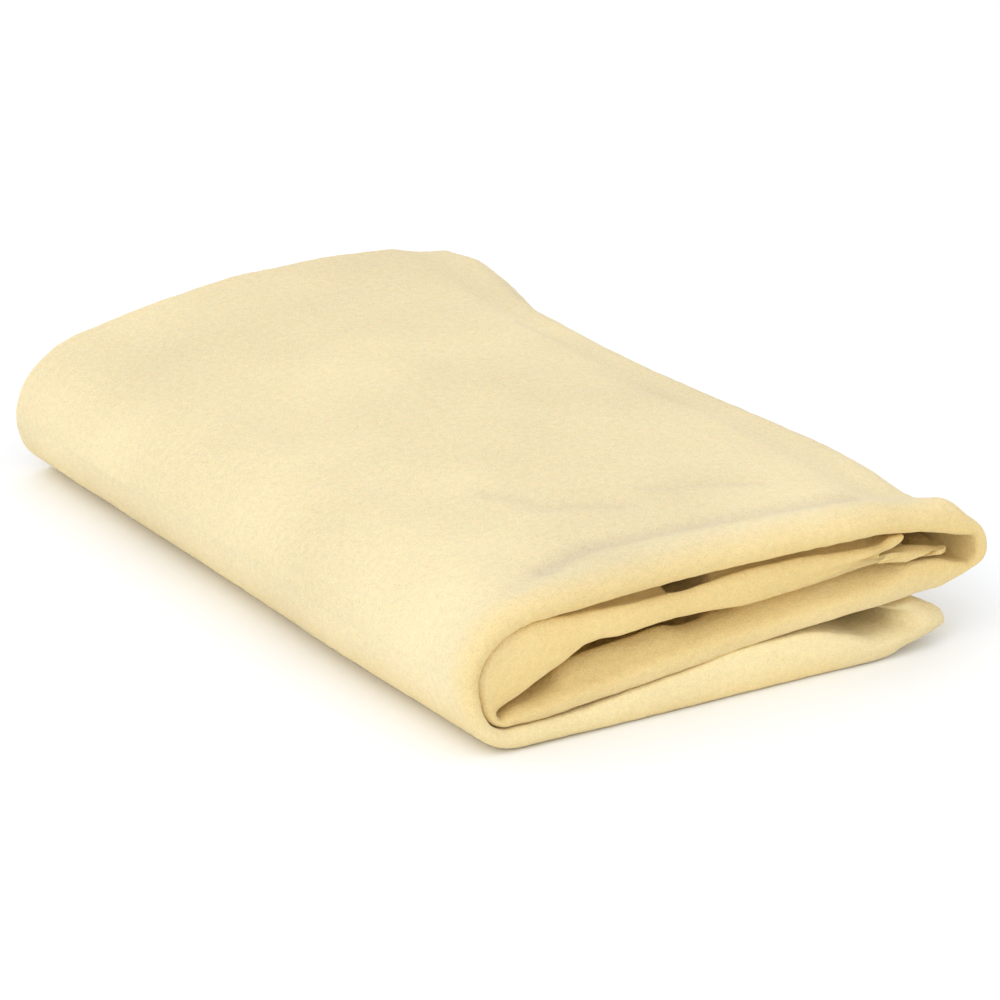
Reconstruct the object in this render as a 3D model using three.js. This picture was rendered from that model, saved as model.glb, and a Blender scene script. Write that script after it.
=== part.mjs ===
// A chamois leather lying folded: one skin, doubled over along its front edge, then turned over
// and over into four stacked leaves and a short tucked-in tail.
// Millimetres, +Z up. The bottom leaf lies on z = 0 and the doubled edge faces -Y.
import * as THREE from 'three';

// Folded size and the skin itself
const FOLDED_WIDTH = 156;
const FOLDED_DEPTH = 239;
const SKIN_THICK = 1.2;
const PANEL_GAP = 0.3; // left between two panels of the skin that meet end to end
const NEST_GAP = 0.4; // left between a fold and the leaf that it lies against

// Where the leaves start and end across the width, and the stations between, as shares of that run
const SPINE_REACH = 23;
const RIGHT_REACH = 35;
const STATION_SHARES = [0, 0.38, 0.68, 1];

// What lies on the floor at each station, from the bottom up: doubled leaves and the air between
const BOTTOM_LEAF = [5.2, 7.6, 10.2, 9.0];
const TUCK_GAP = [0.6, 0.5, 0.5, 4.0];
const MIDDLE_LEAF = [5.4, 8.3, 8.8, 8.6];
const MOUTH_GAP = [4.4, 5.5, 1.5, 3.2];
const INNER_LEAF = [15.2, 8.5, 10.7, 5.2];
const SLIT_GAP = [0.4, 3.6, 3.4, 3.8];
const TOP_LEAF = [8.4, 7.4, 7.2, 8.0];

// Doubled thickness of the folds, and how far the loose ends stop short of the right edge
const SPINE_THICK = 6.2;
const NEST_TIP_THICK = 5.6;
const NEST_FOOT_THICK = 3.5;
const RIGHT_TIP_THICK = 4.4;
const TAIL_THICK = 2.7;
const TAIL_INSET = 9.5;
const TAIL_LENGTH = 28;
const INNER_END_INSET = 28;
const INNER_END_TAPER = 0.6;

// Outlines of the folds between their leaves and tips. Each point of a ply has its inset from the tip's
// edge, its rise over the level beside it and the heading of the skin in degrees.
const BEND_FOOT_INSET = { outer: 19, inner: 15 };
const BEND_DROOP = 1.5;
const INNER_BEND = [-1, -0.6, 214];
const NEST_POINT = { shift: 1.4, rise: 0.7, entry: 285, exit: 20 };
const MIDDLE_LEFT = { shift: 5, outer: 3, inner: 12 };
const RIGHT_FOOT = { outer: [9, 1.6, 8], inner: [14, -0.2, 0] };
const RIGHT_TIP = { rise: 2.2, droop: 0.3, heading: 92 };
const RIGHT_SHOULDER = { outer: [9, -5.8, 140], inner: [13, -4.2, 158] };
const TOP_RIGHT = { outer: [26, -1.2, 170], inner: [26, -1, 172] };
const BOTTOM_RIGHT = [38, 0, 350];
const TAIL_FOOT = { outer: [8, 1.5, 8], inner: [19.5, -1.2, 20] };
const TAIL_TIP = { outer: [0, -4.2, 95], inner: [17.5, 0.2, 95] };
const TAIL_SHOULDER = { outer: [8, -1.4, 148], inner: [18.5, -0.3, 150] };
const TAIL_BACK = { outer: [14, 0, 178], inner: [20, 0, 180] };
const TAIL_END = [-0.2, 182];

// How far each part of the doubled front edge stands back from the front
const INNER_SETBACK = 2;
const MIDDLE_SETBACK = 3;
const TAIL_SETBACK = 16;
const TAIL_SETBACK_SHARES = { tip: 0.06, shoulder: 0.3, back: 0.7 };

// The front edge is round, and no deeper than this
const LIP_DEPTH_MAX = 5.4;
const LIP_ROUNDNESS = 0.9;

// The pile is not quite square: its right side is drawn in at the waist and its left one at the front,
// the back is bowed in plan and the left bend sinks towards the back
const WAIST = 11;
const WAIST_RUN = 55;
const WAIST_FROM_FRONT = 80;
const WAIST_FROM_BACK = 60;
const WAIST_KEPT_AT_BACK = 0.3;
const FRONT_TUCK = 2;
const BACK_BOW = 5;
const BACK_BOW_CENTRE = 25;
const BACK_SAG = 0.11;
const BACK_SAG_RUN = 78;

// Share of each quarter of the left bend that creases; the rest of it is the stiffer spine
const CREASE_SHARE = 0.64;

// Facets: steps along a leaf span, round a fold span, down a ply and round the front edge
const LEAF_STEPS = 3;
const FOLD_STEPS = 5;
const PLY_SHARES = [0, 0.13, 0.28, 0.52, 0.78, 1];
const LIP_STEPS = 6;
const QUARTER_ROUND = 0.5523; // handle of a cubic curve that follows a quarter of a round

const LEATHER_COLOUR = 0xf1e2ba;
const LEATHER_ROUGHNESS = 0.95;

const { lerp, degToRad, smoothstep } = THREE.MathUtils;
const LEFT = -FOLDED_WIDTH / 2;
const RIGHT = FOLDED_WIDTH / 2;
const FRONT = -FOLDED_DEPTH / 2;
const BACK = FOLDED_DEPTH / 2;
const LEFTWARD = 180;
const RIGHTWARD = 0;
const DOWNWARD = 270;

const stationX = STATION_SHARES.map((share) => lerp(LEFT + SPINE_REACH, RIGHT - RIGHT_REACH, share));
const LAST = stationX.length - 1;
const floorLevel = stationX.map(() => 0);

// Heights of the leaves' faces at the stations, each layer standing on the one below it
function stackLayers(layers) {
  let below = floorLevel;
  return layers.map((layer) => {
    below = below.map((height, station) => height + layer[station]);
    return below;
  });
}
const [bottomTop, middleFoot, middleTop, innerFoot, innerTop, topFoot, topTop] = stackLayers([
  BOTTOM_LEAF, TUCK_GAP, MIDDLE_LEAF, MOUTH_GAP, INNER_LEAF, SLIT_GAP, TOP_LEAF,
]);

// A point of one ply in the section across the width: x, z and the heading of the skin in degrees
function plyPoint(x, z, heading) {
  const angle = degToRad(heading);
  return { at: new THREE.Vector2(x, z), along: new THREE.Vector2(Math.cos(angle), Math.sin(angle)) };
}

// A stop on the skin's route: its outer ply, its inner ply and how far its front edge stands back
function stop(outer, inner, setback = 0) {
  return { outer, inner, setback };
}

// The point of a leaf's face at a station, heading along the slope between the stations beside it.
// A face that lies against another one follows the slope of that one.
function facePoint(levels, station, direction, against = levels) {
  const before = Math.max(station - 1, 0);
  const after = Math.min(station + 1, LAST);
  const slope = (against[after] - against[before]) / (stationX[after] - stationX[before]);
  const tilt = THREE.MathUtils.radToDeg(Math.atan(slope));
  return plyPoint(stationX[station], levels[station], direction + tilt);
}

// A leaf that runs leftwards shows its upper face to the outside, one that runs rightwards its lower
function leftwardStop(foot, top, station, setback) {
  return stop(facePoint(top, station, LEFTWARD), facePoint(foot, station, LEFTWARD), setback);
}
function rightwardStop(foot, top, station, setback) {
  return stop(facePoint(foot, station, RIGHTWARD), facePoint(top, station, RIGHTWARD), setback);
}

// Heights that the folds take from the leaves beside them
const bendHeight = topTop[0] / 2;
const bendInside = bendHeight - BEND_DROOP;
const bendFootX = LEFT + BEND_FOOT_INSET.inner;
const nestX = LEFT + SPINE_THICK + NEST_GAP;
const nestFoot = bottomTop[0] + NEST_GAP;
const rightTipHeight = middleTop[LAST] + RIGHT_TIP.rise;
const tailEdge = RIGHT - TAIL_INSET;
const tailTop = middleFoot[LAST] - NEST_GAP;
const tailUnder = tailTop - TAIL_THICK;
const tailFloor = bottomTop[LAST];

// A point of a fold's outline, set in from an edge and risen over a level
function foldPoint([inset, rise, heading], edge, level) {
  return plyPoint(edge - inset, level + rise, heading);
}

// Inner leaf, from its loose end leftwards
const innerEnd = stop(
  plyPoint(RIGHT - INNER_END_INSET, innerTop[LAST] - INNER_END_TAPER, LEFTWARD),
  plyPoint(RIGHT - INNER_END_INSET, innerFoot[LAST] + INNER_END_TAPER, LEFTWARD),
  INNER_SETBACK,
);
const innerRight = leftwardStop(innerFoot, innerTop, LAST, INNER_SETBACK);
const innerCentre = leftwardStop(innerFoot, innerTop, 2, INNER_SETBACK);
const innerLeft = leftwardStop(innerFoot, innerTop, 1, INNER_SETBACK);
const innerBend = stop(
  facePoint(innerTop, 0, LEFTWARD, topFoot),
  foldPoint(INNER_BEND, stationX[0], innerFoot[0]),
  INNER_SETBACK,
);

// Fold nested in the left bend
const nestTip = stop(
  plyPoint(nestX, bendInside, DOWNWARD),
  plyPoint(nestX + NEST_TIP_THICK, nestFoot + NEST_FOOT_THICK + NEST_POINT.rise, NEST_POINT.entry),
  INNER_SETBACK,
);
const nestBottom = stop(
  plyPoint(bendFootX, nestFoot, RIGHTWARD),
  plyPoint(nestX + NEST_TIP_THICK + NEST_POINT.shift, nestFoot + NEST_FOOT_THICK, NEST_POINT.exit),
  INNER_SETBACK,
);

// Middle leaf, rightwards
const middleLeft = stop(
  plyPoint(stationX[0] + MIDDLE_LEFT.shift, middleFoot[0], MIDDLE_LEFT.outer),
  plyPoint(stationX[0] + MIDDLE_LEFT.shift, middleTop[0], MIDDLE_LEFT.inner),
  MIDDLE_SETBACK,
);
const middleNear = rightwardStop(middleFoot, middleTop, 1, MIDDLE_SETBACK);
const middleCentre = rightwardStop(middleFoot, middleTop, 2, MIDDLE_SETBACK);
const middleRight = rightwardStop(middleFoot, middleTop, LAST, MIDDLE_SETBACK);

// Fold on the right, up to the top leaf
const rightFoot = stop(
  foldPoint(RIGHT_FOOT.outer, RIGHT, middleFoot[LAST]),
  foldPoint(RIGHT_FOOT.inner, RIGHT, middleTop[LAST]),
  MIDDLE_SETBACK,
);
const rightTip = stop(
  plyPoint(RIGHT, rightTipHeight, RIGHT_TIP.heading),
  plyPoint(RIGHT - RIGHT_TIP_THICK, rightTipHeight - RIGHT_TIP.droop, RIGHT_TIP.heading),
);
const rightShoulder = stop(
  foldPoint(RIGHT_SHOULDER.outer, RIGHT, topTop[LAST]),
  foldPoint(RIGHT_SHOULDER.inner, RIGHT, topFoot[LAST]),
);

// Top leaf, leftwards
const topRight = stop(
  foldPoint(TOP_RIGHT.outer, RIGHT, topTop[LAST]),
  foldPoint(TOP_RIGHT.inner, RIGHT, topFoot[LAST]),
);
const topNear = leftwardStop(topFoot, topTop, LAST);
const topCentre = leftwardStop(topFoot, topTop, 2);
const topFar = leftwardStop(topFoot, topTop, 1);
const topLeft = leftwardStop(topFoot, topTop, 0);

// Left bend, down to the bottom leaf
const spineTip = stop(
  plyPoint(LEFT, bendHeight, DOWNWARD),
  plyPoint(LEFT + SPINE_THICK, bendInside, DOWNWARD),
);
const bottomLeft = stop(
  plyPoint(LEFT + BEND_FOOT_INSET.outer, 0, RIGHTWARD),
  plyPoint(bendFootX, bottomTop[0] - NEST_GAP, RIGHTWARD),
);

// Bottom leaf, rightwards, flat on the floor
const bottomFar = stop(
  facePoint(floorLevel, 1, RIGHTWARD),
  facePoint(bottomTop, 1, RIGHTWARD, middleFoot),
);
const bottomCentre = stop(
  facePoint(floorLevel, 2, RIGHTWARD),
  facePoint(bottomTop, 2, RIGHTWARD, middleFoot),
);
const bottomRight = stop(
  facePoint(floorLevel, LAST, RIGHTWARD),
  foldPoint(BOTTOM_RIGHT, RIGHT, tailFloor),
);

// Tail: a blunt fold on the right and a short end tucked back under the middle leaf
const tailFoot = stop(
  foldPoint(TAIL_FOOT.outer, tailEdge, 0),
  foldPoint(TAIL_FOOT.inner, tailEdge, tailFloor),
);
const tailTip = stop(
  foldPoint(TAIL_TIP.outer, tailEdge, tailFloor),
  foldPoint(TAIL_TIP.inner, tailEdge, tailFloor),
  TAIL_SETBACK * TAIL_SETBACK_SHARES.tip,
);
const tailShoulder = stop(
  foldPoint(TAIL_SHOULDER.outer, tailEdge, tailTop),
  foldPoint(TAIL_SHOULDER.inner, tailEdge, tailUnder),
  TAIL_SETBACK * TAIL_SETBACK_SHARES.shoulder,
);
const tailBack = stop(
  foldPoint(TAIL_BACK.outer, tailEdge, tailTop),
  foldPoint(TAIL_BACK.inner, tailEdge, tailUnder),
  TAIL_SETBACK * TAIL_SETBACK_SHARES.back,
);
const tailEnd = stop(
  foldPoint([TAIL_LENGTH, ...TAIL_END], tailEdge, tailTop),
  foldPoint([TAIL_LENGTH, ...TAIL_END], tailEdge, tailUnder),
  TAIL_SETBACK,
);

// A span of the route between two stops, or the part of it between two shares
function span(from, to, steps = LEAF_STEPS, start = 0, end = 1) {
  return { from, to, steps, start, end };
}
function leafSpans(...stops) {
  return stops.slice(1).map((to, index) => span(stops[index], to));
}
function foldSpans(...stops) {
  return stops.slice(1).map((to, index) => span(stops[index], to, FOLD_STEPS));
}

// The panels of the skin, in order along it from the inner end to the tail
const panels = {
  inner_leaf: leafSpans(innerEnd, innerRight, innerCentre, innerLeft, innerBend),
  inner_fold: foldSpans(innerBend, nestTip, nestBottom, middleLeft),
  middle_leaf: leafSpans(middleLeft, middleNear, middleCentre, middleRight),
  right_fold: foldSpans(middleRight, rightFoot, rightTip, rightShoulder, topRight),
  top_leaf: leafSpans(topRight, topNear, topCentre, topFar, topLeft),
  upper_crease: [span(topLeft, spineTip, FOLD_STEPS, 0, CREASE_SHARE)],
  spine: [
    span(topLeft, spineTip, LEAF_STEPS, CREASE_SHARE, 1),
    span(spineTip, bottomLeft, LEAF_STEPS, 0, 1 - CREASE_SHARE),
  ],
  lower_crease: [span(spineTip, bottomLeft, FOLD_STEPS, 1 - CREASE_SHARE, 1)],
  bottom_leaf: leafSpans(bottomLeft, bottomFar, bottomCentre, bottomRight),
  tail_fold: foldSpans(bottomRight, tailFoot, tailTip, tailShoulder, tailBack),
  tail_leaf: leafSpans(tailBack, tailEnd),
};

// The curve of one ply over a span, level with its heading at both ends
function plyCurve(from, to) {
  const chord = to.at.clone().sub(from.at);
  const leave = from.along.clone().multiplyScalar(QUARTER_ROUND * Math.abs(chord.dot(from.along)));
  const arrive = to.along.clone().multiplyScalar(QUARTER_ROUND * Math.abs(chord.dot(to.along)));
  return new THREE.CubicBezierCurve(from.at, from.at.clone().add(leave), to.at.clone().sub(arrive), to.at);
}

// Ribs of the doubled skin along a panel: where both plies are, and how far the front edge is back
function panelRibs(spans) {
  const ribs = [];
  spans.forEach(({ from, to, steps, start, end }, index) => {
    const outer = plyCurve(from.outer, to.outer);
    const inner = plyCurve(from.inner, to.inner);
    const halfGap = PANEL_GAP / 2 / Math.min(outer.getLength(), inner.getLength());
    const first = index === 0 ? start + halfGap : start;
    const last = index === spans.length - 1 ? end - halfGap : end;
    for (let step = index === 0 ? 0 : 1; step <= steps; step += 1) {
      const share = lerp(first, last, step / steps);
      ribs.push({
        outer: outer.getPoint(share),
        inner: inner.getPoint(share),
        setback: lerp(from.setback, to.setback, smoothstep(share, 0, 1)),
      });
    }
  });
  return ribs;
}

// How the pile settles out of square
function settle(x, y, z) {
  const atRight = smoothstep(x, RIGHT - WAIST_RUN, RIGHT);
  const behindFront = smoothstep(y, FRONT, FRONT + WAIST_FROM_FRONT);
  const nearBack = smoothstep(y, BACK - WAIST_FROM_BACK, BACK);
  const drawnIn = WAIST * atRight * behindFront * lerp(1, WAIST_KEPT_AT_BACK, nearBack);
  const tuckedIn = FRONT_TUCK * smoothstep(-x, 0, -LEFT) * (1 - behindFront);
  const sunk = BACK_SAG * smoothstep(-x, 0, BACK_SAG_RUN) * (y - FRONT) / FOLDED_DEPTH;
  return new THREE.Vector3(x - drawnIn + tuckedIn, y, z * (1 - sunk));
}

// Depth of the back edge, which is bowed in plan
function backEdge(x) {
  return BACK - BACK_BOW * ((x - BACK_BOW_CENTRE) / RIGHT) ** 2;
}

// One face of the skin at a rib: down the outer ply, round the front edge and back up the inner ply.
// The outside face has a depth of 0 and the flesh face the thickness of the skin.
function skinFace({ outer, inner, setback }, depth) {
  const middle = outer.clone().add(inner).multiplyScalar(0.5);
  const half = outer.distanceTo(inner) / 2;
  const reach = outer.clone().sub(middle).multiplyScalar(1 - depth / half);
  const lipDepth = Math.min(LIP_ROUNDNESS * half, LIP_DEPTH_MAX);
  const lipStart = FRONT + setback + lipDepth;
  const points = [];
  const addPly = (side, shares) => {
    const { x, y: z } = middle.clone().addScaledVector(reach, side);
    shares.forEach((share) => points.push(settle(x, lerp(backEdge(x), lipStart, share), z)));
  };
  addPly(1, PLY_SHARES);
  for (let step = 1; step < LIP_STEPS; step += 1) {
    const turn = (Math.PI * step) / LIP_STEPS;
    const { x, y: z } = middle.clone().addScaledVector(reach, Math.cos(turn));
    points.push(settle(x, lipStart - (lipDepth - depth) * Math.sin(turn), z));
  }
  addPly(-1, [...PLY_SHARES].reverse());
  return points;
}

// A closed solid of one panel: two faces of the skin, its two back edges and its two cut ends
function panelGeometry(spans) {
  const rows = panelRibs(spans).map((rib) => [...skinFace(rib, 0), ...skinFace(rib, SKIN_THICK)]);
  const width = rows[0].length;
  const faceWidth = width / 2;
  const index = [];
  const addQuad = (...corners) => {
    const [a, b, c, d] = corners.map(([row, column]) => row * width + column);
    index.push(a, b, c, a, c, d);
  };
  for (let row = 0; row + 1 < rows.length; row += 1) {
    const next = row + 1;
    for (let column = 0; column + 1 < faceWidth; column += 1) {
      const flesh = column + faceWidth;
      addQuad([row, column], [next, column], [next, column + 1], [row, column + 1]);
      addQuad([row, flesh], [row, flesh + 1], [next, flesh + 1], [next, flesh]);
    }
    addQuad([row, 0], [row, faceWidth], [next, faceWidth], [next, 0]);
    addQuad([row, faceWidth - 1], [next, faceWidth - 1], [next, width - 1], [row, width - 1]);
  }
  const last = rows.length - 1;
  for (let column = 0; column + 1 < faceWidth; column += 1) {
    const flesh = column + faceWidth;
    addQuad([0, column], [0, column + 1], [0, flesh + 1], [0, flesh]);
    addQuad([last, column], [last, flesh], [last, flesh + 1], [last, column + 1]);
  }
  const geometry = new THREE.BufferGeometry();
  geometry.setFromPoints(rows.flat());
  geometry.setIndex(index);
  geometry.computeVertexNormals();
  return geometry;
}

const chamois = new THREE.Group();
Object.entries(panels).forEach(([name, spans]) => {
  const leather = new THREE.MeshStandardMaterial({
    color: LEATHER_COLOUR, roughness: LEATHER_ROUGHNESS, metalness: 0,
  });
  const panel = new THREE.Mesh(panelGeometry(spans), leather);
  panel.name = name;
  chamois.add(panel);
});

export default chamois;
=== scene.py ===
"""Looks of a folded chamois leather: one suede skin in three lengths that meet edge to edge, laid along
the folded route of the solids, with its soft forms, its nap and its cut edges."""
import math
from typing import NamedTuple

import bpy
import numpy as np
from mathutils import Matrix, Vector, noise


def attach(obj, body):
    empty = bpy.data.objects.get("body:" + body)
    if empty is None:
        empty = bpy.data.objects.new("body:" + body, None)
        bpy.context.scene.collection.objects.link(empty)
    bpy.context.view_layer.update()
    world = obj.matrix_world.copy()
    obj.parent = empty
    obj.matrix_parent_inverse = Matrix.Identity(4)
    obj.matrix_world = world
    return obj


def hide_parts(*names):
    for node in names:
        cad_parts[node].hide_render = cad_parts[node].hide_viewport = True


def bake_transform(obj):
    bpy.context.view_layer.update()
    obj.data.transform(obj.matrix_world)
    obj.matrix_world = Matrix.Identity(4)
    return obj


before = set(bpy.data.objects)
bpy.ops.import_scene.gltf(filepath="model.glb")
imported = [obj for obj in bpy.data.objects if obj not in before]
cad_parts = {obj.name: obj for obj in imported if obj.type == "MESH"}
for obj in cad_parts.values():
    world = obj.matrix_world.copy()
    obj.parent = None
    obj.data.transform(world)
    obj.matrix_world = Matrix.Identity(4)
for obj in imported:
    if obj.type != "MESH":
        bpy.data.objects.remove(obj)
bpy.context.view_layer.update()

# The route of the skin is worked out in millimetres, in the frame of the solids
MM = 0.001
FOLDED_WIDTH = 156
FOLDED_DEPTH = 239
SKIN_THICK = 1.2
NEST_GAP = 0.15
LEFT = -FOLDED_WIDTH / 2
RIGHT = FOLDED_WIDTH / 2
FRONT = -FOLDED_DEPTH / 2
BACK = FOLDED_DEPTH / 2
LEFTWARD = 180
RIGHTWARD = 0
DOWNWARD = 270

# Where the leaves start and end across the width, and the stations between
SPINE_REACH = 23
RIGHT_REACH = 35
STATION_SHARES = np.array([0, 0.38, 0.68, 1])
STATION_X = LEFT + SPINE_REACH + STATION_SHARES * (FOLDED_WIDTH - SPINE_REACH - RIGHT_REACH)
LAST = len(STATION_X) - 1

# What lies on the floor at each station, from the bottom up: doubled leaves and the air between
BOTTOM_LEAF = [5.6, 9.2, 12.0, 9.0]
TUCK_GAP = [0.3, 0.2, 0.2, 5.4]
MIDDLE_LEAF = [5.3, 7.0, 7.3, 7.6]
MOUTH_GAP = [4.2, 7.4, 3.7, 5.0]
INNER_LEAF = [15.8, 6.8, 9.1, 3.7]
SLIT_GAP = [0.4, 2.9, 1.5, 2.9]
TOP_LEAF = [8.0, 7.9, 8.5, 8.2]
FLOOR_LEVEL = np.zeros(len(STATION_X))
LAYERS = [BOTTOM_LEAF, TUCK_GAP, MIDDLE_LEAF, MOUTH_GAP, INNER_LEAF, SLIT_GAP, TOP_LEAF]
BOTTOM_TOP, MIDDLE_FOOT, MIDDLE_TOP, INNER_FOOT, INNER_TOP, TOP_FOOT, TOP_TOP = np.cumsum(LAYERS, axis=0)

# Doubled thickness of the folds
SPINE_THICK = 5.0
NEST_TIP_THICK = 5.6
NEST_FOOT_THICK = 3.5
RIGHT_TIP_THICK = 3.8
TAIL_THICK = 2.7

# How far the tail and the inner end stop short of the right edge, and the tail's length
TAIL_INSET = 9.2
INNER_END_INSET = 25
TAIL_LENGTH = 26

# Where the left bend runs out on the floor, and how far its inside hangs below its middle
BEND_FOOT_INSET = 19
BEND_FOOT_INSET_INSIDE = 15
BEND_DROOP = 1.5

# How far the right fold's tip stands above the middle leaf, and how far in from the tip its two halves and
# the top leaf start
RIGHT_TIP_RISE = 2.6
RIGHT_TURN_INSET = 7.5
RIGHT_TURN_INSET_INSIDE = 1.6
TOP_RIGHT_INSET = 26

# Where the inner leaf starts to turn down to its bend, and how far in the middle leaf leaves that bend
BROW_X = -30
MIDDLE_START_INSET = 4

# How far each part of the doubled front edge stands back from the front
INNER_SETBACK = 1.6
MIDDLE_SETBACK = 1.4
TAIL_SETBACK = 16

# Depths that the doubled edge is rounded over, on its outer and its inner ply
INNER_ROUNDING = 2.6, 1.8
NEST_ROUNDING = 2.4, 3
BOTTOM_ROUNDING = 2.6, 1.6
TAIL_END_ROUNDING = 1.3, 1.3
MIDDLE_OUTER_ROUNDING = 1.5
TOP_INNER_ROUNDING = 4

# Heights and places that the folds take from the leaves beside them
BEND_HEIGHT = TOP_TOP[0] / 2
BEND_INSIDE = BEND_HEIGHT - BEND_DROOP
BEND_FOOT_X = LEFT + BEND_FOOT_INSET_INSIDE
NEST_X = LEFT + SPINE_THICK + NEST_GAP
NEST_FOOT = BOTTOM_TOP[0] + NEST_GAP
RIGHT_TIP_HEIGHT = MIDDLE_TOP[LAST] + RIGHT_TIP_RISE
RIGHT_INSIDE = RIGHT - RIGHT_TIP_THICK
RIGHT_TURN = RIGHT - RIGHT_TURN_INSET
RIGHT_TURN_INSIDE = RIGHT_INSIDE - RIGHT_TURN_INSET_INSIDE
TOP_RIGHT_X = RIGHT - TOP_RIGHT_INSET
MIDDLE_START = STATION_X[0] + MIDDLE_START_INSET
INNER_END = RIGHT - INNER_END_INSET
TAIL_EDGE = RIGHT - TAIL_INSET
TAIL_END = TAIL_EDGE - TAIL_LENGTH
TAIL_TOP = MIDDLE_FOOT[LAST] - NEST_GAP
TAIL_UNDER = TAIL_TOP - TAIL_THICK
TAIL_FLOOR = BOTTOM_TOP[LAST]


class At(NamedTuple):
    """Where a ply passes a stop: its place across and up, and its heading in degrees."""

    x: float
    z: float
    heading: float


class Stop(NamedTuple):
    """A stop on the skin's route: where its outer and inner ply pass it, the depth that its doubled edge is
    rounded over on each of them, and how far that edge is set back. Behind the edge each ply has a swell
    and, further in, a rise."""

    outer: At
    inner: At
    rounding: tuple
    setback: float = 0
    swell: tuple = (0, 0)
    rise: tuple = (0, 0)


def on_face(levels, x, direction):
    """Where a ply passes a place on a leaf's face, on a curve through its stations. The direction is its
    heading on a level face."""
    slopes = np.gradient(levels, STATION_X)
    start = min(max(np.searchsorted(STATION_X, x) - 1, 0), LAST - 1)
    span = STATION_X[start + 1] - STATION_X[start]
    t = (x - STATION_X[start]) / span
    ends = np.array([levels[start], levels[start + 1], slopes[start] * span, slopes[start + 1] * span])
    shares = np.array([1 - 3 * t**2 + 2 * t**3, 3 * t**2 - 2 * t**3, t - 2 * t**2 + t**3, t**3 - t**2])
    rates = np.array([6 * t**2 - 6 * t, 6 * t - 6 * t**2, 1 - 4 * t + 3 * t**2, 3 * t**2 - 2 * t])
    return At(x, ends @ shares, direction + math.degrees(math.atan(ends @ rates / span)))


def inner_leaf(x, swell, rise):
    """A stop of the inner leaf, whose upper ply mostly rises behind its edge to lie under the top leaf."""
    plies = (on_face(levels, x, LEFTWARD) for levels in (INNER_TOP, INNER_FOOT))
    return Stop(*plies, setback=INNER_SETBACK, rounding=INNER_ROUNDING, swell=(swell, 0), rise=(rise, 0))


def middle_leaf(x, swell, rise, rounding=6):
    """A stop of the middle leaf, whose upper ply swells behind its edge."""
    plies = (on_face(levels, x, RIGHTWARD) for levels in (MIDDLE_FOOT, MIDDLE_TOP))
    return Stop(
        *plies,
        setback=MIDDLE_SETBACK,
        rounding=(MIDDLE_OUTER_ROUNDING, rounding),
        swell=(0, swell),
        rise=(0, rise),
    )


def top_leaf(x, roll):
    """A stop of the top leaf, whose upper ply rolls over its front edge."""
    plies = (on_face(levels, x, LEFTWARD) for levels in (TOP_TOP, TOP_FOOT))
    return Stop(*plies, rounding=(roll, TOP_INNER_ROUNDING))


def bottom_leaf(x):
    """A stop of the bottom leaf, which lies flat on the floor."""
    plies = (on_face(levels, x, RIGHTWARD) for levels in (FLOOR_LEVEL, BOTTOM_TOP))
    return Stop(*plies, rounding=BOTTOM_ROUNDING)


# Stops where two lengths of the skin meet, and those beside them on the left
first_x, second_x, third_x, last_x = STATION_X
middle_right = middle_leaf(last_x, swell=2.4, rise=3.6, rounding=11)
spine_tip = Stop(
    outer=At(x=LEFT, z=BEND_HEIGHT, heading=DOWNWARD),
    inner=At(x=LEFT + SPINE_THICK, z=BEND_INSIDE, heading=DOWNWARD),
    rounding=(4.5, 2.4),
)
top_left = top_leaf(first_x, roll=6)
bottom_left = Stop(
    outer=At(x=LEFT + BEND_FOOT_INSET, z=0, heading=RIGHTWARD),
    inner=At(x=BEND_FOOT_X, z=BOTTOM_TOP[0] - NEST_GAP, heading=RIGHTWARD),
    rounding=(3.5, 2),
)

# The inner length, from its loose end to the left, round the nested fold and back to the right
inner_end = Stop(
    outer=At(x=INNER_END, z=INNER_TOP[LAST] + 1.8, heading=LEFTWARD),
    inner=At(x=INNER_END, z=INNER_FOOT[LAST], heading=LEFTWARD),
    setback=INNER_SETBACK,
    rounding=(1.6, 1.6),
    rise=(0.5, 0),
)
inner_brow = Stop(
    outer=on_face(INNER_TOP, BROW_X, LEFTWARD),
    inner=At(x=BROW_X, z=22.9, heading=183),
    setback=INNER_SETBACK,
    rounding=(1.8, 1.8),
    swell=(-0.4, 0),
    rise=(2.8, 0),
)
inner_elbow = Stop(
    outer=on_face(INNER_TOP, x=-41, direction=LEFTWARD),
    inner=At(x=-39.6, z=22.3, heading=188),
    setback=INNER_SETBACK,
    rounding=NEST_ROUNDING,
    rise=(1.4, 0),
)
inner_slope = Stop(
    outer=on_face(INNER_TOP, x=-45, direction=LEFTWARD),
    inner=At(x=-43, z=20.9, heading=212),
    setback=INNER_SETBACK,
    rounding=NEST_ROUNDING,
)
inner_bend = Stop(
    outer=on_face(INNER_TOP, first_x, LEFTWARD + 4),
    inner=At(x=first_x, z=INNER_FOOT[0] - 0.4, heading=208),
    setback=INNER_SETBACK,
    rounding=NEST_ROUNDING,
)
nest_tip = Stop(
    outer=At(x=NEST_X, z=BEND_INSIDE, heading=DOWNWARD),
    inner=At(x=NEST_X + NEST_TIP_THICK + 1, z=NEST_FOOT + NEST_FOOT_THICK - 0.2, heading=285),
    setback=INNER_SETBACK,
    rounding=NEST_ROUNDING,
)
nest_bottom = Stop(
    outer=At(x=BEND_FOOT_X, z=NEST_FOOT, heading=RIGHTWARD),
    inner=At(x=NEST_X + NEST_TIP_THICK + 2.4, z=NEST_FOOT + NEST_FOOT_THICK - 0.9, heading=20),
    setback=INNER_SETBACK,
    rounding=(2, 3),
)
middle_left = Stop(
    outer=At(x=MIDDLE_START, z=MIDDLE_FOOT[0], heading=4),
    inner=At(x=MIDDLE_START, z=MIDDLE_TOP[0], heading=14),
    setback=MIDDLE_SETBACK,
    rounding=(1.8, 5),
)
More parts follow.
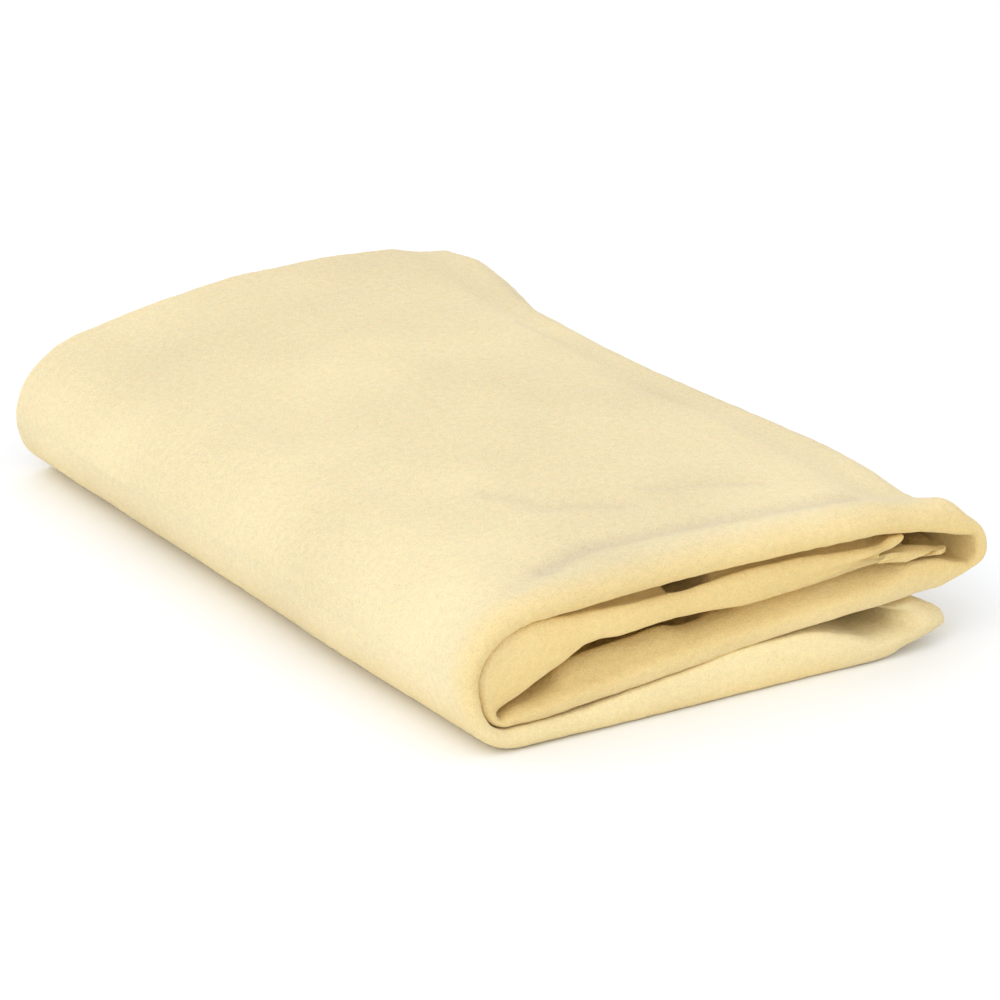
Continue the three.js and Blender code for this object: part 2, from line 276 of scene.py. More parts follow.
inner_route = [
    inner_end,
    inner_leaf(last_x, swell=-0.6, rise=1.5),
    inner_leaf(third_x, swell=-0.8, rise=2.4),
    inner_leaf(1, swell=-0.8, rise=2.4),
    inner_leaf(-4, swell=-2, rise=-4.5),
    inner_leaf(-13, swell=-2.4, rise=-4.5),
    inner_leaf(-16, swell=-0.6, rise=2.8),
    inner_brow,
    inner_elbow,
    inner_slope,
    inner_bend,
    nest_tip,
    nest_bottom,
    middle_left,
    middle_leaf(-42, swell=3.6, rise=-0.5),
    middle_leaf(second_x, swell=3.1, rise=-3.5),
    middle_leaf(-6, swell=1.1, rise=-5),
    middle_leaf(4, swell=1.7, rise=-1),
    middle_leaf(third_x, swell=2.8, rise=2, rounding=10),
    middle_right,
]

# The upper length, round the right fold, over the top and into the left bend
right_leaf = Stop(
    outer=At(x=RIGHT - 21, z=MIDDLE_FOOT[LAST] + 0.8, heading=6),
    inner=At(x=RIGHT - 17, z=MIDDLE_TOP[LAST] + 1.8, heading=352),
    setback=MIDDLE_SETBACK,
    rounding=(2.6, 2),
    rise=(0, -2),
)
right_foot = Stop(
    outer=At(x=RIGHT_TURN, z=MIDDLE_FOOT[LAST] + 3, heading=24),
    inner=At(x=RIGHT_TURN_INSIDE, z=MIDDLE_TOP[LAST] - 0.8, heading=350),
    setback=MIDDLE_SETBACK,
    rounding=(3, 1.6),
    rise=(0, 3),
)
right_tip = Stop(
    outer=At(x=RIGHT, z=RIGHT_TIP_HEIGHT, heading=92),
    inner=At(x=RIGHT_INSIDE, z=RIGHT_TIP_HEIGHT - 0.4, heading=92),
    rounding=(3, 1.6),
)
right_shoulder = Stop(
    outer=At(x=RIGHT_TURN, z=TOP_TOP[LAST] - 6, heading=138),
    inner=At(x=RIGHT_TURN_INSIDE, z=TOP_FOOT[LAST] - 5, heading=168),
    rounding=(5, 1.6),
)
top_right = Stop(
    outer=At(x=TOP_RIGHT_X, z=TOP_TOP[LAST] - 1.2, heading=170),
    inner=At(x=TOP_RIGHT_X, z=TOP_FOOT[LAST] - 0.6, heading=172),
    rounding=(5.5, 3.2),
)
upper_route = [
    middle_right,
    right_leaf,
    right_foot,
    right_tip,
    right_shoulder,
    top_right,
    top_leaf(last_x, roll=6),
    top_leaf(third_x, roll=12),
    top_leaf(second_x, roll=11),
    top_left,
    spine_tip,
]

# The lower length, out of the left bend, along the floor and round the tail fold
bottom_right = Stop(
    outer=on_face(FLOOR_LEVEL, last_x, RIGHTWARD),
    inner=At(x=RIGHT - 40, z=TAIL_FLOOR - 0.6, heading=342),
    rounding=(2.6, 3),
)
tail_foot = Stop(
    outer=At(x=TAIL_EDGE - 11, z=2.8, heading=14),
    inner=At(x=TAIL_EDGE - 19, z=TAIL_FLOOR - 2.2, heading=4),
    setback=0.5,
    rounding=(3, 5),
)
tail_tip = Stop(
    outer=At(x=TAIL_EDGE, z=TAIL_FLOOR - 3.8, heading=95),
    inner=At(x=TAIL_EDGE - 14.5, z=TAIL_FLOOR, heading=88),
    setback=2,
    rounding=(4, 9),
)
tail_shoulder = Stop(
    outer=At(x=TAIL_EDGE - 8, z=TAIL_TOP - 1.8, heading=152),
    inner=At(x=TAIL_EDGE - 17, z=TAIL_UNDER - 0.4, heading=152),
    setback=4,
    rounding=(3, 7),
)
tail_back = Stop(
    outer=At(x=TAIL_EDGE - 15, z=TAIL_TOP - 0.4, heading=176),
    inner=At(x=TAIL_EDGE - 20, z=TAIL_UNDER, heading=180),
    setback=9,
    rounding=TAIL_END_ROUNDING,
)
tail_end = Stop(
    outer=At(x=TAIL_END, z=TAIL_TOP - 1.2, heading=184),
    inner=At(x=TAIL_END, z=TAIL_UNDER - 1, heading=184),
    setback=TAIL_SETBACK,
    rounding=TAIL_END_ROUNDING,
)
lower_route = [
    spine_tip,
    bottom_left,
    bottom_leaf(second_x),
    bottom_leaf(third_x),
    bottom_right,
    tail_foot,
    tail_tip,
    tail_shoulder,
    tail_back,
    tail_end,
]

# Fineness of the skin's mesh: steps along it in millimetres, the row beside a seam, the fewest steps
# between two stops, and steps at shares of a ply's depth, from its raw edge to its doubled edge, where the
# ply shows and where it is hidden
ROW_STEP = 1.1
SEAM_ROW = 0.2
FEWEST_STEPS = 3
SHOWN_STEPS = [(0, 2.6), (0.55, 2.2), (0.9, 1.0), (1, 0.7)]
HIDDEN_STEPS = [(0, 8), (0.8, 4), (0.92, 1.2), (0.96, 0.7), (1, 0.6)]
LIP_STEPS = 24
PROBE_POINTS = 40
SMOOTH_ANGLE = math.radians(50)

# Length of a curve's handles, as a share of its reach, that makes a quarter turn round
QUARTER_ROUND = 0.5523


def smooth_step(value, low, high):
    """0 below low, 1 above high and an easy turn between them."""
    share = np.clip((value - low) / (high - low), 0, 1)
    return share * share * (3 - 2 * share)


def hump(value, centre, reach):
    """1 at the centre, falling off softly over the reach on both sides."""
    return np.exp(-(((value - centre) / reach) ** 2))


def way_of(place):
    """The way that a ply heads at a place, as a vector of length 1."""
    turn = math.radians(place.heading)
    return np.array([math.cos(turn), math.sin(turn)])


def ply_points(start, end, shares):
    """Points of one ply between two stops, on a curve that keeps to its heading at both."""
    first, last = (np.array([place.x, place.z], float) for place in (start, end))
    leave, arrive = way_of(start), way_of(end)
    chord = last - first
    second = first + leave * QUARTER_ROUND * abs(chord @ leave)
    third = last - arrive * QUARTER_ROUND * abs(chord @ arrive)
    t = np.asarray(shares)[:, None]
    return (1 - t) ** 3 * first + 3 * t * (1 - t) ** 2 * second + 3 * t * t * (1 - t) * third + t**3 * last


def length_of(points):
    """Length of a line through points."""
    return np.linalg.norm(np.diff(points, axis=0), axis=1).sum()


class Rows(NamedTuple):
    """Rows along a route: both plies' points, the doubled edge's form and the length along the skin."""

    outer: np.ndarray
    inner: np.ndarray
    setback: np.ndarray
    rounding: np.ndarray
    swell: np.ndarray
    rise: np.ndarray
    along: np.ndarray


def route_rows(route):
    """The rows of a route, closer together beside its ends."""
    outer, inner, edges = [], [], []
    probe = np.linspace(0, 1, PROBE_POINTS)
    for index, (start, end) in enumerate(zip(route, route[1:])):
        plies = (start.outer, end.outer), (start.inner, end.inner)
        longest = max(length_of(ply_points(*ply, probe)) for ply in plies)
        shares = list(np.linspace(0, 1, max(FEWEST_STEPS, round(longest / ROW_STEP)) + 1))
        seam_share = SEAM_ROW / longest
        if index == 0:
            shares.insert(1, seam_share)
        else:
            shares.pop(0)
        if index == len(route) - 2:
            shares.insert(-1, 1 - seam_share)
        shares = np.array(shares)
        outer.append(ply_points(*plies[0], shares))
        inner.append(ply_points(*plies[1], shares))
        first, last = (
            np.array([stop.setback, *stop.rounding, *stop.swell, *stop.rise]) for stop in (start, end)
        )
        edges.append(first + (last - first) * smooth_step(shares, 0, 1)[:, None])
    outer, inner, edges = (np.concatenate(parts) for parts in (outer, inner, edges))
    steps = np.linalg.norm(np.diff((outer + inner) / 2, axis=0), axis=1)
    along = np.concatenate([[0], np.cumsum(steps)])
    return Rows(outer, inner, edges[:, 0], edges[:, 1:3], edges[:, 3:5], edges[:, 5:7], along)


def ply_shares(steps):
    """Shares of a ply's depth from its raw edge to its doubled edge, with these steps in millimetres."""
    places, sizes = zip(*steps)
    shares = [0.0]
    while shares[-1] < 1:
        step = np.interp(shares[-1], places, sizes)
        shares.append(shares[-1] + step / FOLDED_DEPTH)
    return np.array(shares) / shares[-1]


def skin_columns(outer_steps, inner_steps):
    """Columns across the skin: the side of the leaf that each is on, its reach forward round the doubled
    edge and its share of the depth."""
    down = ply_shares(outer_steps)
    up = ply_shares(inner_steps)[::-1]
    turn = np.linspace(0, math.pi, LIP_STEPS + 1)[1:-1]
    side = np.concatenate([np.ones(len(down)), np.cos(turn), -np.ones(len(up))])
    forward = np.concatenate([np.zeros(len(down)), np.sin(turn), np.zeros(len(up))])
    share = np.concatenate([down, np.ones(len(turn)), up])
    return side, forward, share


# The pile is not quite square: its right side is drawn in behind the front and again at the waist, and its
# left one at the front. Its back corners are rounded in plan, its left bend sinks towards the back and its
# right back corner droops
WAIST = 12.8
WAIST_RUN = 55
NECK_SHARE = 0.36
NECK_DEPTH = 28
WAIST_START = FRONT + 38
WAIST_FULL = FRONT + 135
WAIST_FROM_BACK = 66
WAIST_KEPT_AT_BACK = 0.1
FRONT_TUCK = 2
FRONT_TUCK_DEPTH = 80
FRONT_TUCK_HEIGHTS = -6, 16
BACK_BOW = 3.8
BACK_BOW_CENTRE = 25
BACK_SAG = 0.13
BACK_SAG_RUN = 78
CORNER_DROOP = 0.075
CORNER_DROOP_DEPTH = 18


class Lift(NamedTuple):
    """A soft lift of the skin: its middle in plan, its reach across and along, and its height."""

    middle: tuple
    reach: tuple
    height: float


class Crease(NamedTuple):
    """A soft crease: its points in plan, its depth and its half width."""

    points: list
    depth: float
    half_width: float


# A pucker on the right shoulder, just behind the front, the hollow behind it, and the heights over which
# they come in
SHOULDER_LIFTS = [
    Lift(middle=(66.5, FRONT + 4), reach=(4.5, 6), height=0.8),
    Lift(middle=(62, FRONT + 16), reach=(11, 10), height=-3.2),
]
SHOULDER_HEIGHTS = 30, 36

# Creases in the top leaf, the first of them the valley behind its rolled front, and the heights over which
# they come in
TOP_HEIGHTS = 35, 39.5
LIP_VALLEY = [(-45, -105.5), (-30, -100.5), (-12, -102.5), (12, -106), (28, -107), (44, -107)]
TOP_CREASES = [
    Crease(LIP_VALLEY, depth=1.2, half_width=3.6),
    Crease([(-60, -112), (-46, -106)], depth=0.5, half_width=3.4),
    Crease([(-32, -55), (-27, -64), (-25, -73), (-17, -78), (-8, -84)], depth=0.6, half_width=3),
    Crease([(2, -79), (15, -83), (29, -89.5)], depth=0.5, half_width=3),
    Crease([(44, 0), (49, -26)], depth=0.4, half_width=4),
    Crease([(49, 45), (52, 32)], depth=0.4, half_width=3),
]

# Slow and quick unevenness of the soft skin: wavelength and size, and the height above the floor where it
# is full
UNEVENNESS = [(62, 0.45), (19, 0.2), (3.4, 0.17)]
UNEVEN_HEIGHT = 9
NOISE_SEED = 7
noise.seed_set(NOISE_SEED)


def distance_to(x, y, points):
    """Distance in plan from each place to a line through points."""
    nearest = np.full(x.shape, np.inf)
    for (x0, y0), (x1, y1) in zip(points, points[1:]):
        across, along = x1 - x0, y1 - y0
        share = np.clip(((x - x0) * across + (y - y0) * along) / (across**2 + along**2), 0, 1)
        nearest = np.minimum(nearest, np.hypot(x - x0 - share * across, y - y0 - share * along))
    return nearest


def creasing(x, y, z):
    """Depth of the creases at the points of the top leaf, and none elsewhere."""
    depths = np.zeros(x.shape)
    for points, depth, half_width in TOP_CREASES:
        depths += depth * hump(distance_to(x, y, points), 0, half_width)
    return depths * smooth_step(z, *TOP_HEIGHTS)


def settle(x, y, z):
    """The pile's points after it has settled out of square."""
    at_right = smooth_step(x, RIGHT - WAIST_RUN, RIGHT)
    neck = NECK_SHARE * smooth_step(y, FRONT, FRONT + NECK_DEPTH)
    waist = (1 - NECK_SHARE) * smooth_step(y, WAIST_START, WAIST_FULL)
    near_back = smooth_step(y, BACK - WAIST_FROM_BACK, BACK)
    drawn_in = WAIST * at_right * (neck + waist) * (1 + (WAIST_KEPT_AT_BACK - 1) * near_back)
    at_front = 1 - smooth_step(y, FRONT, FRONT + FRONT_TUCK_DEPTH)
    tucked_in = FRONT_TUCK * smooth_step(-x, 0, -LEFT) * at_front * smooth_step(z, *FRONT_TUCK_HEIGHTS)
    sunk = BACK_SAG * smooth_step(-x, 0, BACK_SAG_RUN) * (y - FRONT) / FOLDED_DEPTH
    sunk += CORNER_DROOP * at_right * smooth_step(y, BACK - CORNER_DROOP_DEPTH, BACK)
    lifted = np.zeros(x.shape)
    for (centre_x, centre_y), (reach_x, reach_y), height in SHOULDER_LIFTS:
        lifted += height * hump(x, centre_x, reach_x) * hump(y, centre_y, reach_y)
    lifted *= smooth_step(z, *SHOULDER_HEIGHTS)
    return np.stack([x - drawn_in + tucked_in, y, z * (1 - sunk) + lifted - creasing(x, y, z)], axis=-1)


def unevenness(points):
    """Small shifts of a soft skin's points. Those on the floor stay on it."""
    shifts = np.zeros(points.shape)
    for wavelength, size in UNEVENNESS:
        flat = (points / wavelength).reshape(-1, 3)
        shifts += size * np.array([noise.noise_vector(place) for place in flat]).reshape(points.shape)
    shifts[..., 2] *= smooth_step(points[..., 2], 0, UNEVEN_HEIGHT)
    return shifts


# Behind the doubled edge the outer and the inner ply swell over the first of these depths and rise over
# the second. Both ease off further back
OUTER_DEPTHS = (1.5, 4.5), (4.5, 11)
INNER_DEPTHS = (2, 9), (8, 17)
EASED_DEPTHS = 40, 150

# At its loose end the inner leaf's lower ply runs on past its upper one as a round tongue that droops. The
# tongue starts at a share of its length and is longest some way behind the front. A groove parts the plies
# above it. The cut itself rakes to the left down the front and slants to the right behind it
TONGUE = 14.5
TONGUE_SHARE = 0.3
TONGUE_DEPTHS = 3.6, 6.4
TONGUE_RUN = 40
TONGUE_SIDES = 0.7, 0.98
DROOP = 2.7
DROOP_RUN = 14
GROOVE = 1.5
GROOVE_SIDE = -0.45
GROOVE_REACH = 0.32
CUT_SLANT = 0.6
CUT_SLANT_DEPTHS = 2, 16
RAKE = 7
RAKE_RUN = 16
RAKE_SIDES = -0.9, 0.75


def loose_end(rows, side, depth):
    """Shifts across, back and up of the inner leaf's points beside its loose end."""
    near_end = 1 - smooth_step(rows.along, 0, TONGUE_RUN)[:, None]
    near_tip = 1 - smooth_step(rows.along, 0, DROOP_RUN)[:, None]
    near_cut = 1 - smooth_step(rows.along, 0, RAKE_RUN)[:, None]
    longest, gone = TONGUE_DEPTHS
    below = smooth_step(-side, *TONGUE_SIDES)
    on_tongue = below * (1 - smooth_step(depth, longest, gone))
    round_tip = np.sqrt(1 - (1 - np.clip(depth / longest, 0, 1)) ** 2)
    tongue = TONGUE * on_tongue * (TONGUE_SHARE + (1 - TONGUE_SHARE) * round_tip)
    slant = CUT_SLANT * (np.clip(depth, *CUT_SLANT_DEPTHS) - CUT_SLANT_DEPTHS[0])
    rake = RAKE * smooth_step(-side, *RAKE_SIDES) * (1 - below) * near_cut
    groove = GROOVE * hump(side, GROOVE_SIDE, GROOVE_REACH)
    return (tongue + slant) * near_end - rake, groove * near_end, -DROOP * on_tongue * near_tip


# Runs along each length of the skin, in millimetres, over which its outer face comes into the open and
# takes the painted sheen, or leaves it where the second number is the smaller, and runs over which the skin
# takes the brighter tone of painted light
ALL_ALONG = [(-1, 0)]
NOWHERE = []
INNER_PAINTED_SHEEN = [(100, 150)]
LOWER_PAINTED_SHEEN = [(22, 0), (110, 128)]
LOWER_PAINTED_LIGHT = [(0, 15)]


def skin_points(rows, columns, has_loose_end):
    """Points of the skin's outside, row by row along it and column by column across it, and how far each
    of them is creased."""
    side, forward, share = columns
    middle = (rows.outer + rows.inner) / 2
    reach = rows.outer - middle
    rounding = np.where(side >= 0, rows.rounding[:, :1], rows.rounding[:, 1:])
    swell = np.where(side >= 0, rows.swell[:, :1], rows.swell[:, 1:]) * np.abs(side)
    rise = np.where(side >= 0, rows.rise[:, :1], rows.rise[:, 1:]) * np.abs(side)
    x = middle[:, :1] + reach[:, :1] * side
    z = middle[:, 1:] + reach[:, 1:] * side
    edge = FRONT + rows.setback[:, None]
    round_end = edge + rounding * (1 - forward)
    back_edge = BACK - BACK_BOW * np.abs((x - BACK_BOW_CENTRE) / RIGHT) ** 3
    y = back_edge + (round_end - back_edge) * share
    depth = y - edge
    for ply, (swell_depths, rise_depths) in ((side > 0, OUTER_DEPTHS), (side < 0, INNER_DEPTHS)):
        swollen = swell * smooth_step(depth, *swell_depths)
        risen = (rise - swell) * smooth_step(depth, *rise_depths)
        z = z + ply * (swollen + risen) * (1 - smooth_step(depth, *EASED_DEPTHS))
    if has_loose_end:
        shift_x, shift_y, shift_z = loose_end(rows, side, depth)
        x, y, z = x + shift_x, y + shift_y, z + shift_z
    points = settle(x, y, z)
    return points + unevenness(points), creasing(x, y, z)


def flat_grid(name, count_along, count_across):
    """A flat grid, and the row and the column of each of its points."""
    bpy.ops.object.select_all(action="DESELECT")
    bpy.ops.mesh.primitive_grid_add(
        x_subdivisions=count_along - 1, y_subdivisions=count_across - 1, size=1, location=(0, 0, 0)
    )
    grid = bpy.context.object
    grid.name = name
    places = np.zeros(len(grid.data.vertices) * 3)
    grid.data.vertices.foreach_get("co", places)
    places = places.reshape(-1, 3)
    row = np.rint((places[:, 0] + 0.5) * (count_along - 1)).astype(int)
    column = np.rint((places[:, 1] + 0.5) * (count_across - 1)).astype(int)
    return grid, row, column


def share_of_runs(along, runs):
    """How far each place along the skin is into the nearest of its runs, from 0 to 1."""
    share = np.zeros(along.shape)
    for run in runs:
        share = np.maximum(share, smooth_step(along, *run))
    return share


def set_attribute(mesh, name, values):
    """Keeps a number at each point of a mesh for its material to read."""
    mesh.attributes.new(name, "FLOAT", "POINT").data.foreach_set("value", values)


def set_flat_map(mesh, places):
    """Makes the places of a mesh's points on the flat skin its UV map."""
    corner = np.zeros(len(mesh.loops), int)
    mesh.loops.foreach_get("vertex_index", corner)
    mesh.uv_layers.active.name = "flat_skin"
    mesh.uv_layers.active.data.foreach_set("uv", places[corner].ravel())


def thicken(skin):
    """Gives the skin its thickness, all of it inwards, with its second material on the cut edges."""
    wall = skin.modifiers.new("thickness", "SOLIDIFY")
    wall.thickness = SKIN_THICK * MM
    wall.offset = -1
    wall.material_offset_rim = 1
    bpy.ops.object.modifier_apply(modifier=wall.name)
    bpy.ops.object.shade_smooth_by_angle(angle=SMOOTH_ANGLE)


def make_skin(name, route, columns, painted_sheen_runs, painted_light_runs, has_loose_end=False):
    """A length of the skin, which is a flat grid laid along its route and thickened, and its flat size."""
    rows = route_rows(route)
    points, crease_shade = skin_points(rows, columns, has_loose_end)
    skin, row, column = flat_grid(name, *points.shape[:2])
    along = rows.along[row]
    across = np.cumsum(np.linalg.norm(np.diff(points, axis=1), axis=2), axis=1)
    across = np.concatenate([np.zeros((len(points), 1)), across], axis=1)
    fold_column = int(np.argmax(columns[1]))
    from_fold = across[row, column] - across[row, fold_column]
    mesh = skin.data
    mesh.vertices.foreach_set("co", (points[row, column] * MM).ravel())
    # What the material reads: the painted crease shade, the painted sheen and the painted light
    set_attribute(mesh, "crease_shade", crease_shade[row, column])
    set_attribute(mesh, "painted_sheen", share_of_runs(along, painted_sheen_runs))
    set_attribute(mesh, "painted_light", share_of_runs(along, painted_light_runs))
    set_flat_map(mesh, np.stack([along, from_fold], axis=1) * MM)
    mesh.update()
    thicken(skin)
    size = (rows.along[-1] * MM, float(across[:, -1].mean()) * MM)
    return skin, size


class Finish:
    """A material being made. Its node method adds a node and gives one of its outputs as a Wire."""

    def __init__(self, name):
        self.material = bpy.data.materials.new(name)
        self.material.use_nodes = True
        self.tree = self.material.node_tree
        self.shader = self.tree.nodes["Principled BSDF"]

    def node(self, kind, settings=None, inputs=None, output=0):
        made = self.tree.nodes.new(kind)
        for key, value in (settings or {}).items():
            setattr(made, key, value)
        for key, value in (inputs or {}).items():
            self.feed(made.inputs[key], value)
        return Wire(self, made.outputs[output])

    def feed(self, socket, value):
        if isinstance(value, Wire):
            self.tree.links.new(value.socket, socket)
        else:
            socket.default_value = value

    def set(self, **inputs):
        for key, value in inputs.items():
            self.feed(self.shader.inputs[key.replace("_", " ")], value)


class Wire:
    """A value that changes over a surface. Arithmetic on it adds Math nodes."""

    def __init__(self, finish, socket):
        self.finish = finish
        self.socket = socket

    def math(self, operation, first, second):
        return self.finish.node("ShaderNodeMath", {"operation": operation}, {0: first, 1: second})

    def __add__(self, other):
        return self.math("ADD", self, other)

    __radd__ = __add__

    def __sub__(self, other):
        return self.math("SUBTRACT", self, other)

    def __rsub__(self, other):
        return self.math("SUBTRACT", other, self)

    def __mul__(self, other):
        return self.math("MULTIPLY", self, other)

    __rmul__ = __mul__


# Colours of the suede, as linear light, and how its paler and its warmer patches differ from them
CREAM = (0.8, 0.605, 0.262)
# Painted light: a paler, brighter tone on the lower half of the left bend that lifts its shade by the floor
LIT_CREAM = (0.89, 0.757, 0.447)
# Painted sheen: the paler, cooler tone of the outer face
SHEEN_PALE_CREAM = (0.795, 0.682, 0.433)
# Painted shade: grey laid along the top leaf's creases
CREASE_SHADE_GREY = (0.69, 0.59, 0.393)
CUT_EDGE = (0.78, 0.57, 0.26)
PALER = (1.02, 1.06, 1.18)
WARMER = (0.95, 0.91, 0.83)

# The outer face is paler and cooler away from the doubled edge, a painted sheen where the nap would catch
# light at a grazing view, while the lip's underside keeps the darker, warmer tone as painted shade. Where
# the paling starts, just under the doubled edge, and where it is full, in metres behind that edge
SHEEN_PALE_FROM = -0.004
SHEEN_PALE_FULL = 0.011

# Noises of the suede: scale, detail and roughness
NAP = 1900, 2, 0.6
GRAIN = 520, 3, 0.6
MOTTLE = 85, 4, 0.6
BLOTCH = 16, 2, 0.5

# How far the paler and the warmer patches come in: the weight of their noise and what is taken off it
PALER_WEIGHT = 1.6
PALER_CUT = 0.3
WARMER_WEIGHT = 0.5
WARMER_CUT = 0.1

# How far the painted light, the painted sheen and the painted crease shade come in where they are full
LIT_SHARE = 0.8
SHEEN_PALE_SHARE = 0.9
CREASE_SHADE_SHARE = 0.75

# Lightness, bump and roughness of the suede: what they start from and the weights of the noises
LIGHTNESS = 0.55
LIGHTNESS_OF_NAP = 0.38
LIGHTNESS_OF_GRAIN = 0.22
LIGHTNESS_OF_BLOTCH = 0.3
BUMP_STRENGTH = 0.9
BUMP_DISTANCE = 0.0005
BUMP_OF_NAP = 0.5
BUMP_OF_GRAIN = 0.8
ROUGHNESS = 0.88
ROUGHNESS_OF_NAP = 0.1

# What the suede's shader keeps the same all over
SOFTNESS = {
    "Specular IOR Level": 0.15,
    "Sheen Weight": 0.1,
    "Sheen Roughness": 0.3,
    "Subsurface Weight": 0.12,
    "Subsurface Radius": (1.0, 0.45, 0.15),
    "Subsurface Scale": 0.0015,
}

# The output of a Mix node that holds a colour
MIXED_COLOUR = 2


def noise_on(finish, place, scale, detail, roughness):
    """Soft noise of a wavelength of about 1 / scale metres over a place."""
    return finish.node(
        "ShaderNodeTexNoise",
        {},
        {"Vector": place, "Scale": scale, "Detail": detail, "Roughness": roughness},
    )


def opaque(colour):
    """A colour with its alpha."""
    return (*colour, 1)


def mixed(finish, share, first, second):
    """One colour, with a share of a second one mixed in."""
    return finish.node(
        "ShaderNodeMix", {"data_type": "RGBA"}, {"Factor": share, "A": first, "B": second}, MIXED_COLOUR
    )


def painted_light_tone(finish, place, tone):
    """A tone of the skin's faces with painted light and shade: brighter on the lower left bend,
    paler and cooler as painted sheen on the outer face, and greyer as painted shade in the creases.
    """
    crease_shade, painted_sheen, painted_light = (
        finish.node("ShaderNodeAttribute", {"attribute_name": attribute}, output="Fac")
        for attribute in ("crease_shade", "painted_sheen", "painted_light")
    )
    from_edge = finish.node("ShaderNodeSeparateXYZ", {}, {"Vector": place}, "Y")
    sheen_paling = finish.node(
        "ShaderNodeMapRange",
        {"interpolation_type": "SMOOTHSTEP"},
        {"Value": from_edge, "From Min": -SHEEN_PALE_FROM, "From Max": -SHEEN_PALE_FULL},
    )
    # Painted light on the lower half of the left bend, near its doubled edge
    tone = mixed(finish, painted_light * (1 - sheen_paling) * LIT_SHARE, tone, opaque(LIT_CREAM))
    # Painted sheen on the outer face, away from the doubled edge
    tone = mixed(finish, sheen_paling * painted_sheen * SHEEN_PALE_SHARE, tone, opaque(SHEEN_PALE_CREAM))
    # Painted shade in the creases
    return mixed(finish, crease_shade * CREASE_SHADE_SHARE, tone, opaque(CREASE_SHADE_GREY))


def suede(name, base, flat_map):
    """Brushed suede: a fine nap over a soft grain, with faint blotches."""
    finish = Finish(name)
    if flat_map:
        place = finish.node("ShaderNodeUVMap", {"uv_map": "flat_skin"})
    else:
        place = finish.node("ShaderNodeTexCoord", output="Object")
    nap, grain, mottle, blotch = (noise_on(finish, place, *kind) for kind in (NAP, GRAIN, MOTTLE, BLOTCH))
    pale, warm = (opaque(np.multiply(base, tint)) for tint in (PALER, WARMER))
    tone = mixed(finish, blotch * PALER_WEIGHT - PALER_CUT, opaque(base), pale)
    tone = mixed(finish, mottle * WARMER_WEIGHT - WARMER_CUT, tone, warm)
    if flat_map:
        tone = painted_light_tone(finish, place, tone)
    lightness = LIGHTNESS + LIGHTNESS_OF_NAP * nap + LIGHTNESS_OF_GRAIN * grain
    lightness = lightness + LIGHTNESS_OF_BLOTCH * blotch
    colour = finish.node("ShaderNodeVectorMath", {"operation": "SCALE"}, {0: tone, "Scale": lightness})
    height = nap * BUMP_OF_NAP + grain * BUMP_OF_GRAIN
    bump = finish.node(
        "ShaderNodeBump", {}, {"Strength": BUMP_STRENGTH, "Distance": BUMP_DISTANCE, "Height": height}
    )
    finish.set(Base_Color=colour, Roughness=ROUGHNESS + ROUGHNESS_OF_NAP * nap, Normal=bump)
    for socket, value in SOFTNESS.items():
        finish.shader.inputs[socket].default_value = value
    return finish.material


suede_face = suede("suede", CREAM, True)
cut_edge = suede("cut_edge", CUT_EDGE, False)
shown = skin_columns(SHOWN_STEPS, HIDDEN_STEPS)
hidden = skin_columns(HIDDEN_STEPS, HIDDEN_STEPS)
inner_skin, inner_size = make_skin(
    "inner_skin", inner_route, hidden, INNER_PAINTED_SHEEN, NOWHERE, has_loose_end=True
)
upper_skin, upper_size = make_skin("upper_skin", upper_route, shown, ALL_ALONG, NOWHERE)
lower_skin, lower_size = make_skin("lower_skin", lower_route, shown, LOWER_PAINTED_SHEEN, LOWER_PAINTED_LIGHT)

# Share of each of the left bend's quarters that creases. The rest of it is the stiffer spine
CREASE_SHARE = 0.64


def between_plies(start, end, share):
    """The point halfway between the plies at a share of a span of the route, in metres."""
    outer = ply_points(start.outer, end.outer, [share])[0]
    inner = ply_points(start.inner, end.inner, [share])[0]
    x, z = (outer + inner) / 2 * MM
    return x, 0, z


for skin, size in ((inner_skin, inner_size), (upper_skin, upper_size), (lower_skin, lower_size)):
    skin.data.materials.append(suede_face)
    skin.data.materials.append(cut_edge)
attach(inner_skin, "cover")
between_plies(top_left, spine_tip, CREASE_SHARE)
between_plies(top_left, spine_tip, 0)
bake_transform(upper_skin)
between_plies(spine_tip, bottom_left, 1)
between_plies(spine_tip, bottom_left, 1 - CREASE_SHARE)
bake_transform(lower_skin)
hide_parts("inner_leaf", "inner_fold", "middle_leaf")
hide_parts("right_fold", "top_leaf", "upper_crease", "spine")
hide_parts("lower_crease", "bottom_leaf", "tail_fold", "tail_leaf")

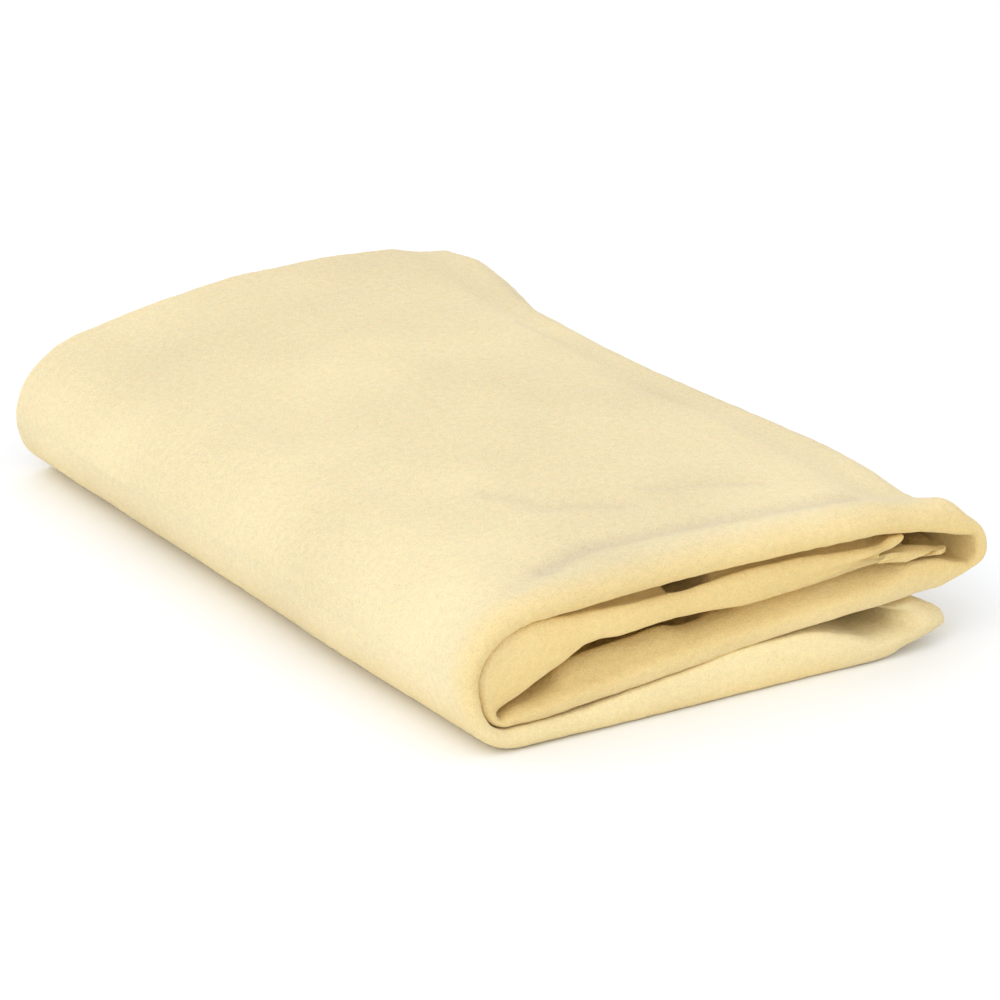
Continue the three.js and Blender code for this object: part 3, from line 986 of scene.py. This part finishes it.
# Camera at the photograph's viewing angle
AZIMUTH = math.radians(-31.54)
ELEVATION = math.radians(21.03)
DISTANCE = 1.5
LOOKED_AT = Vector((0.0073, 0, 0.0122))
FOCAL_PIXELS = 5724
FRAME_PIXELS = 1000
SENSOR = 36
back_of_view = Vector(
    (
        math.sin(AZIMUTH) * math.cos(ELEVATION),
        -math.cos(AZIMUTH) * math.cos(ELEVATION),
        math.sin(ELEVATION),
    )
)
bpy.ops.object.camera_add(location=LOOKED_AT + DISTANCE * back_of_view)
camera = bpy.context.object
camera.rotation_euler = (-back_of_view).to_track_quat("-Z", "Y").to_euler()
camera.data.sensor_width = SENSOR
camera.data.lens = SENSOR * FOCAL_PIXELS / FRAME_PIXELS
bpy.context.scene.camera = camera

# Floor, just under the skin, and light
FLOOR_SIZE = 30
FLOOR_DROP = 0.0002
PAPER_WHITE = (0.95, 0.97, 1, 1)
PAPER_ROUGHNESS = 0.9
SKY_WHITE = (1, 1, 1, 1)
SKY_STRENGTH = 0.96
bpy.ops.mesh.primitive_plane_add(size=FLOOR_SIZE, location=(0, 0, -FLOOR_DROP))
floor = bpy.context.object
floor.name = "floor"
paper = Finish("paper")
paper.set(Base_Color=PAPER_WHITE, Roughness=PAPER_ROUGHNESS)
floor.data.materials.append(paper.material)

sky = bpy.data.worlds.new("studio")
sky.use_nodes = True
background = sky.node_tree.nodes["Background"]
background.inputs["Color"].default_value = SKY_WHITE
background.inputs["Strength"].default_value = SKY_STRENGTH
bpy.context.scene.world = sky


def soft_box(name, place, size, power):
    """A square soft light that looks at the pile."""
    bpy.ops.object.light_add(type="AREA", location=place)
    light = bpy.context.object
    light.name = name
    light.data.size = size
    light.data.energy = power
    light.rotation_euler = (Vector((0, 0, 0)) - Vector(place)).to_track_quat("-Z", "Y").to_euler()


soft_box("key", place=(-1.2, -0.4, 1.5), size=1.6, power=7.5)
soft_box("fill", place=(-1.2, -1.1, 0.9), size=0.9, power=4.5)

bpy.context.scene.view_settings.view_transform = "Standard"
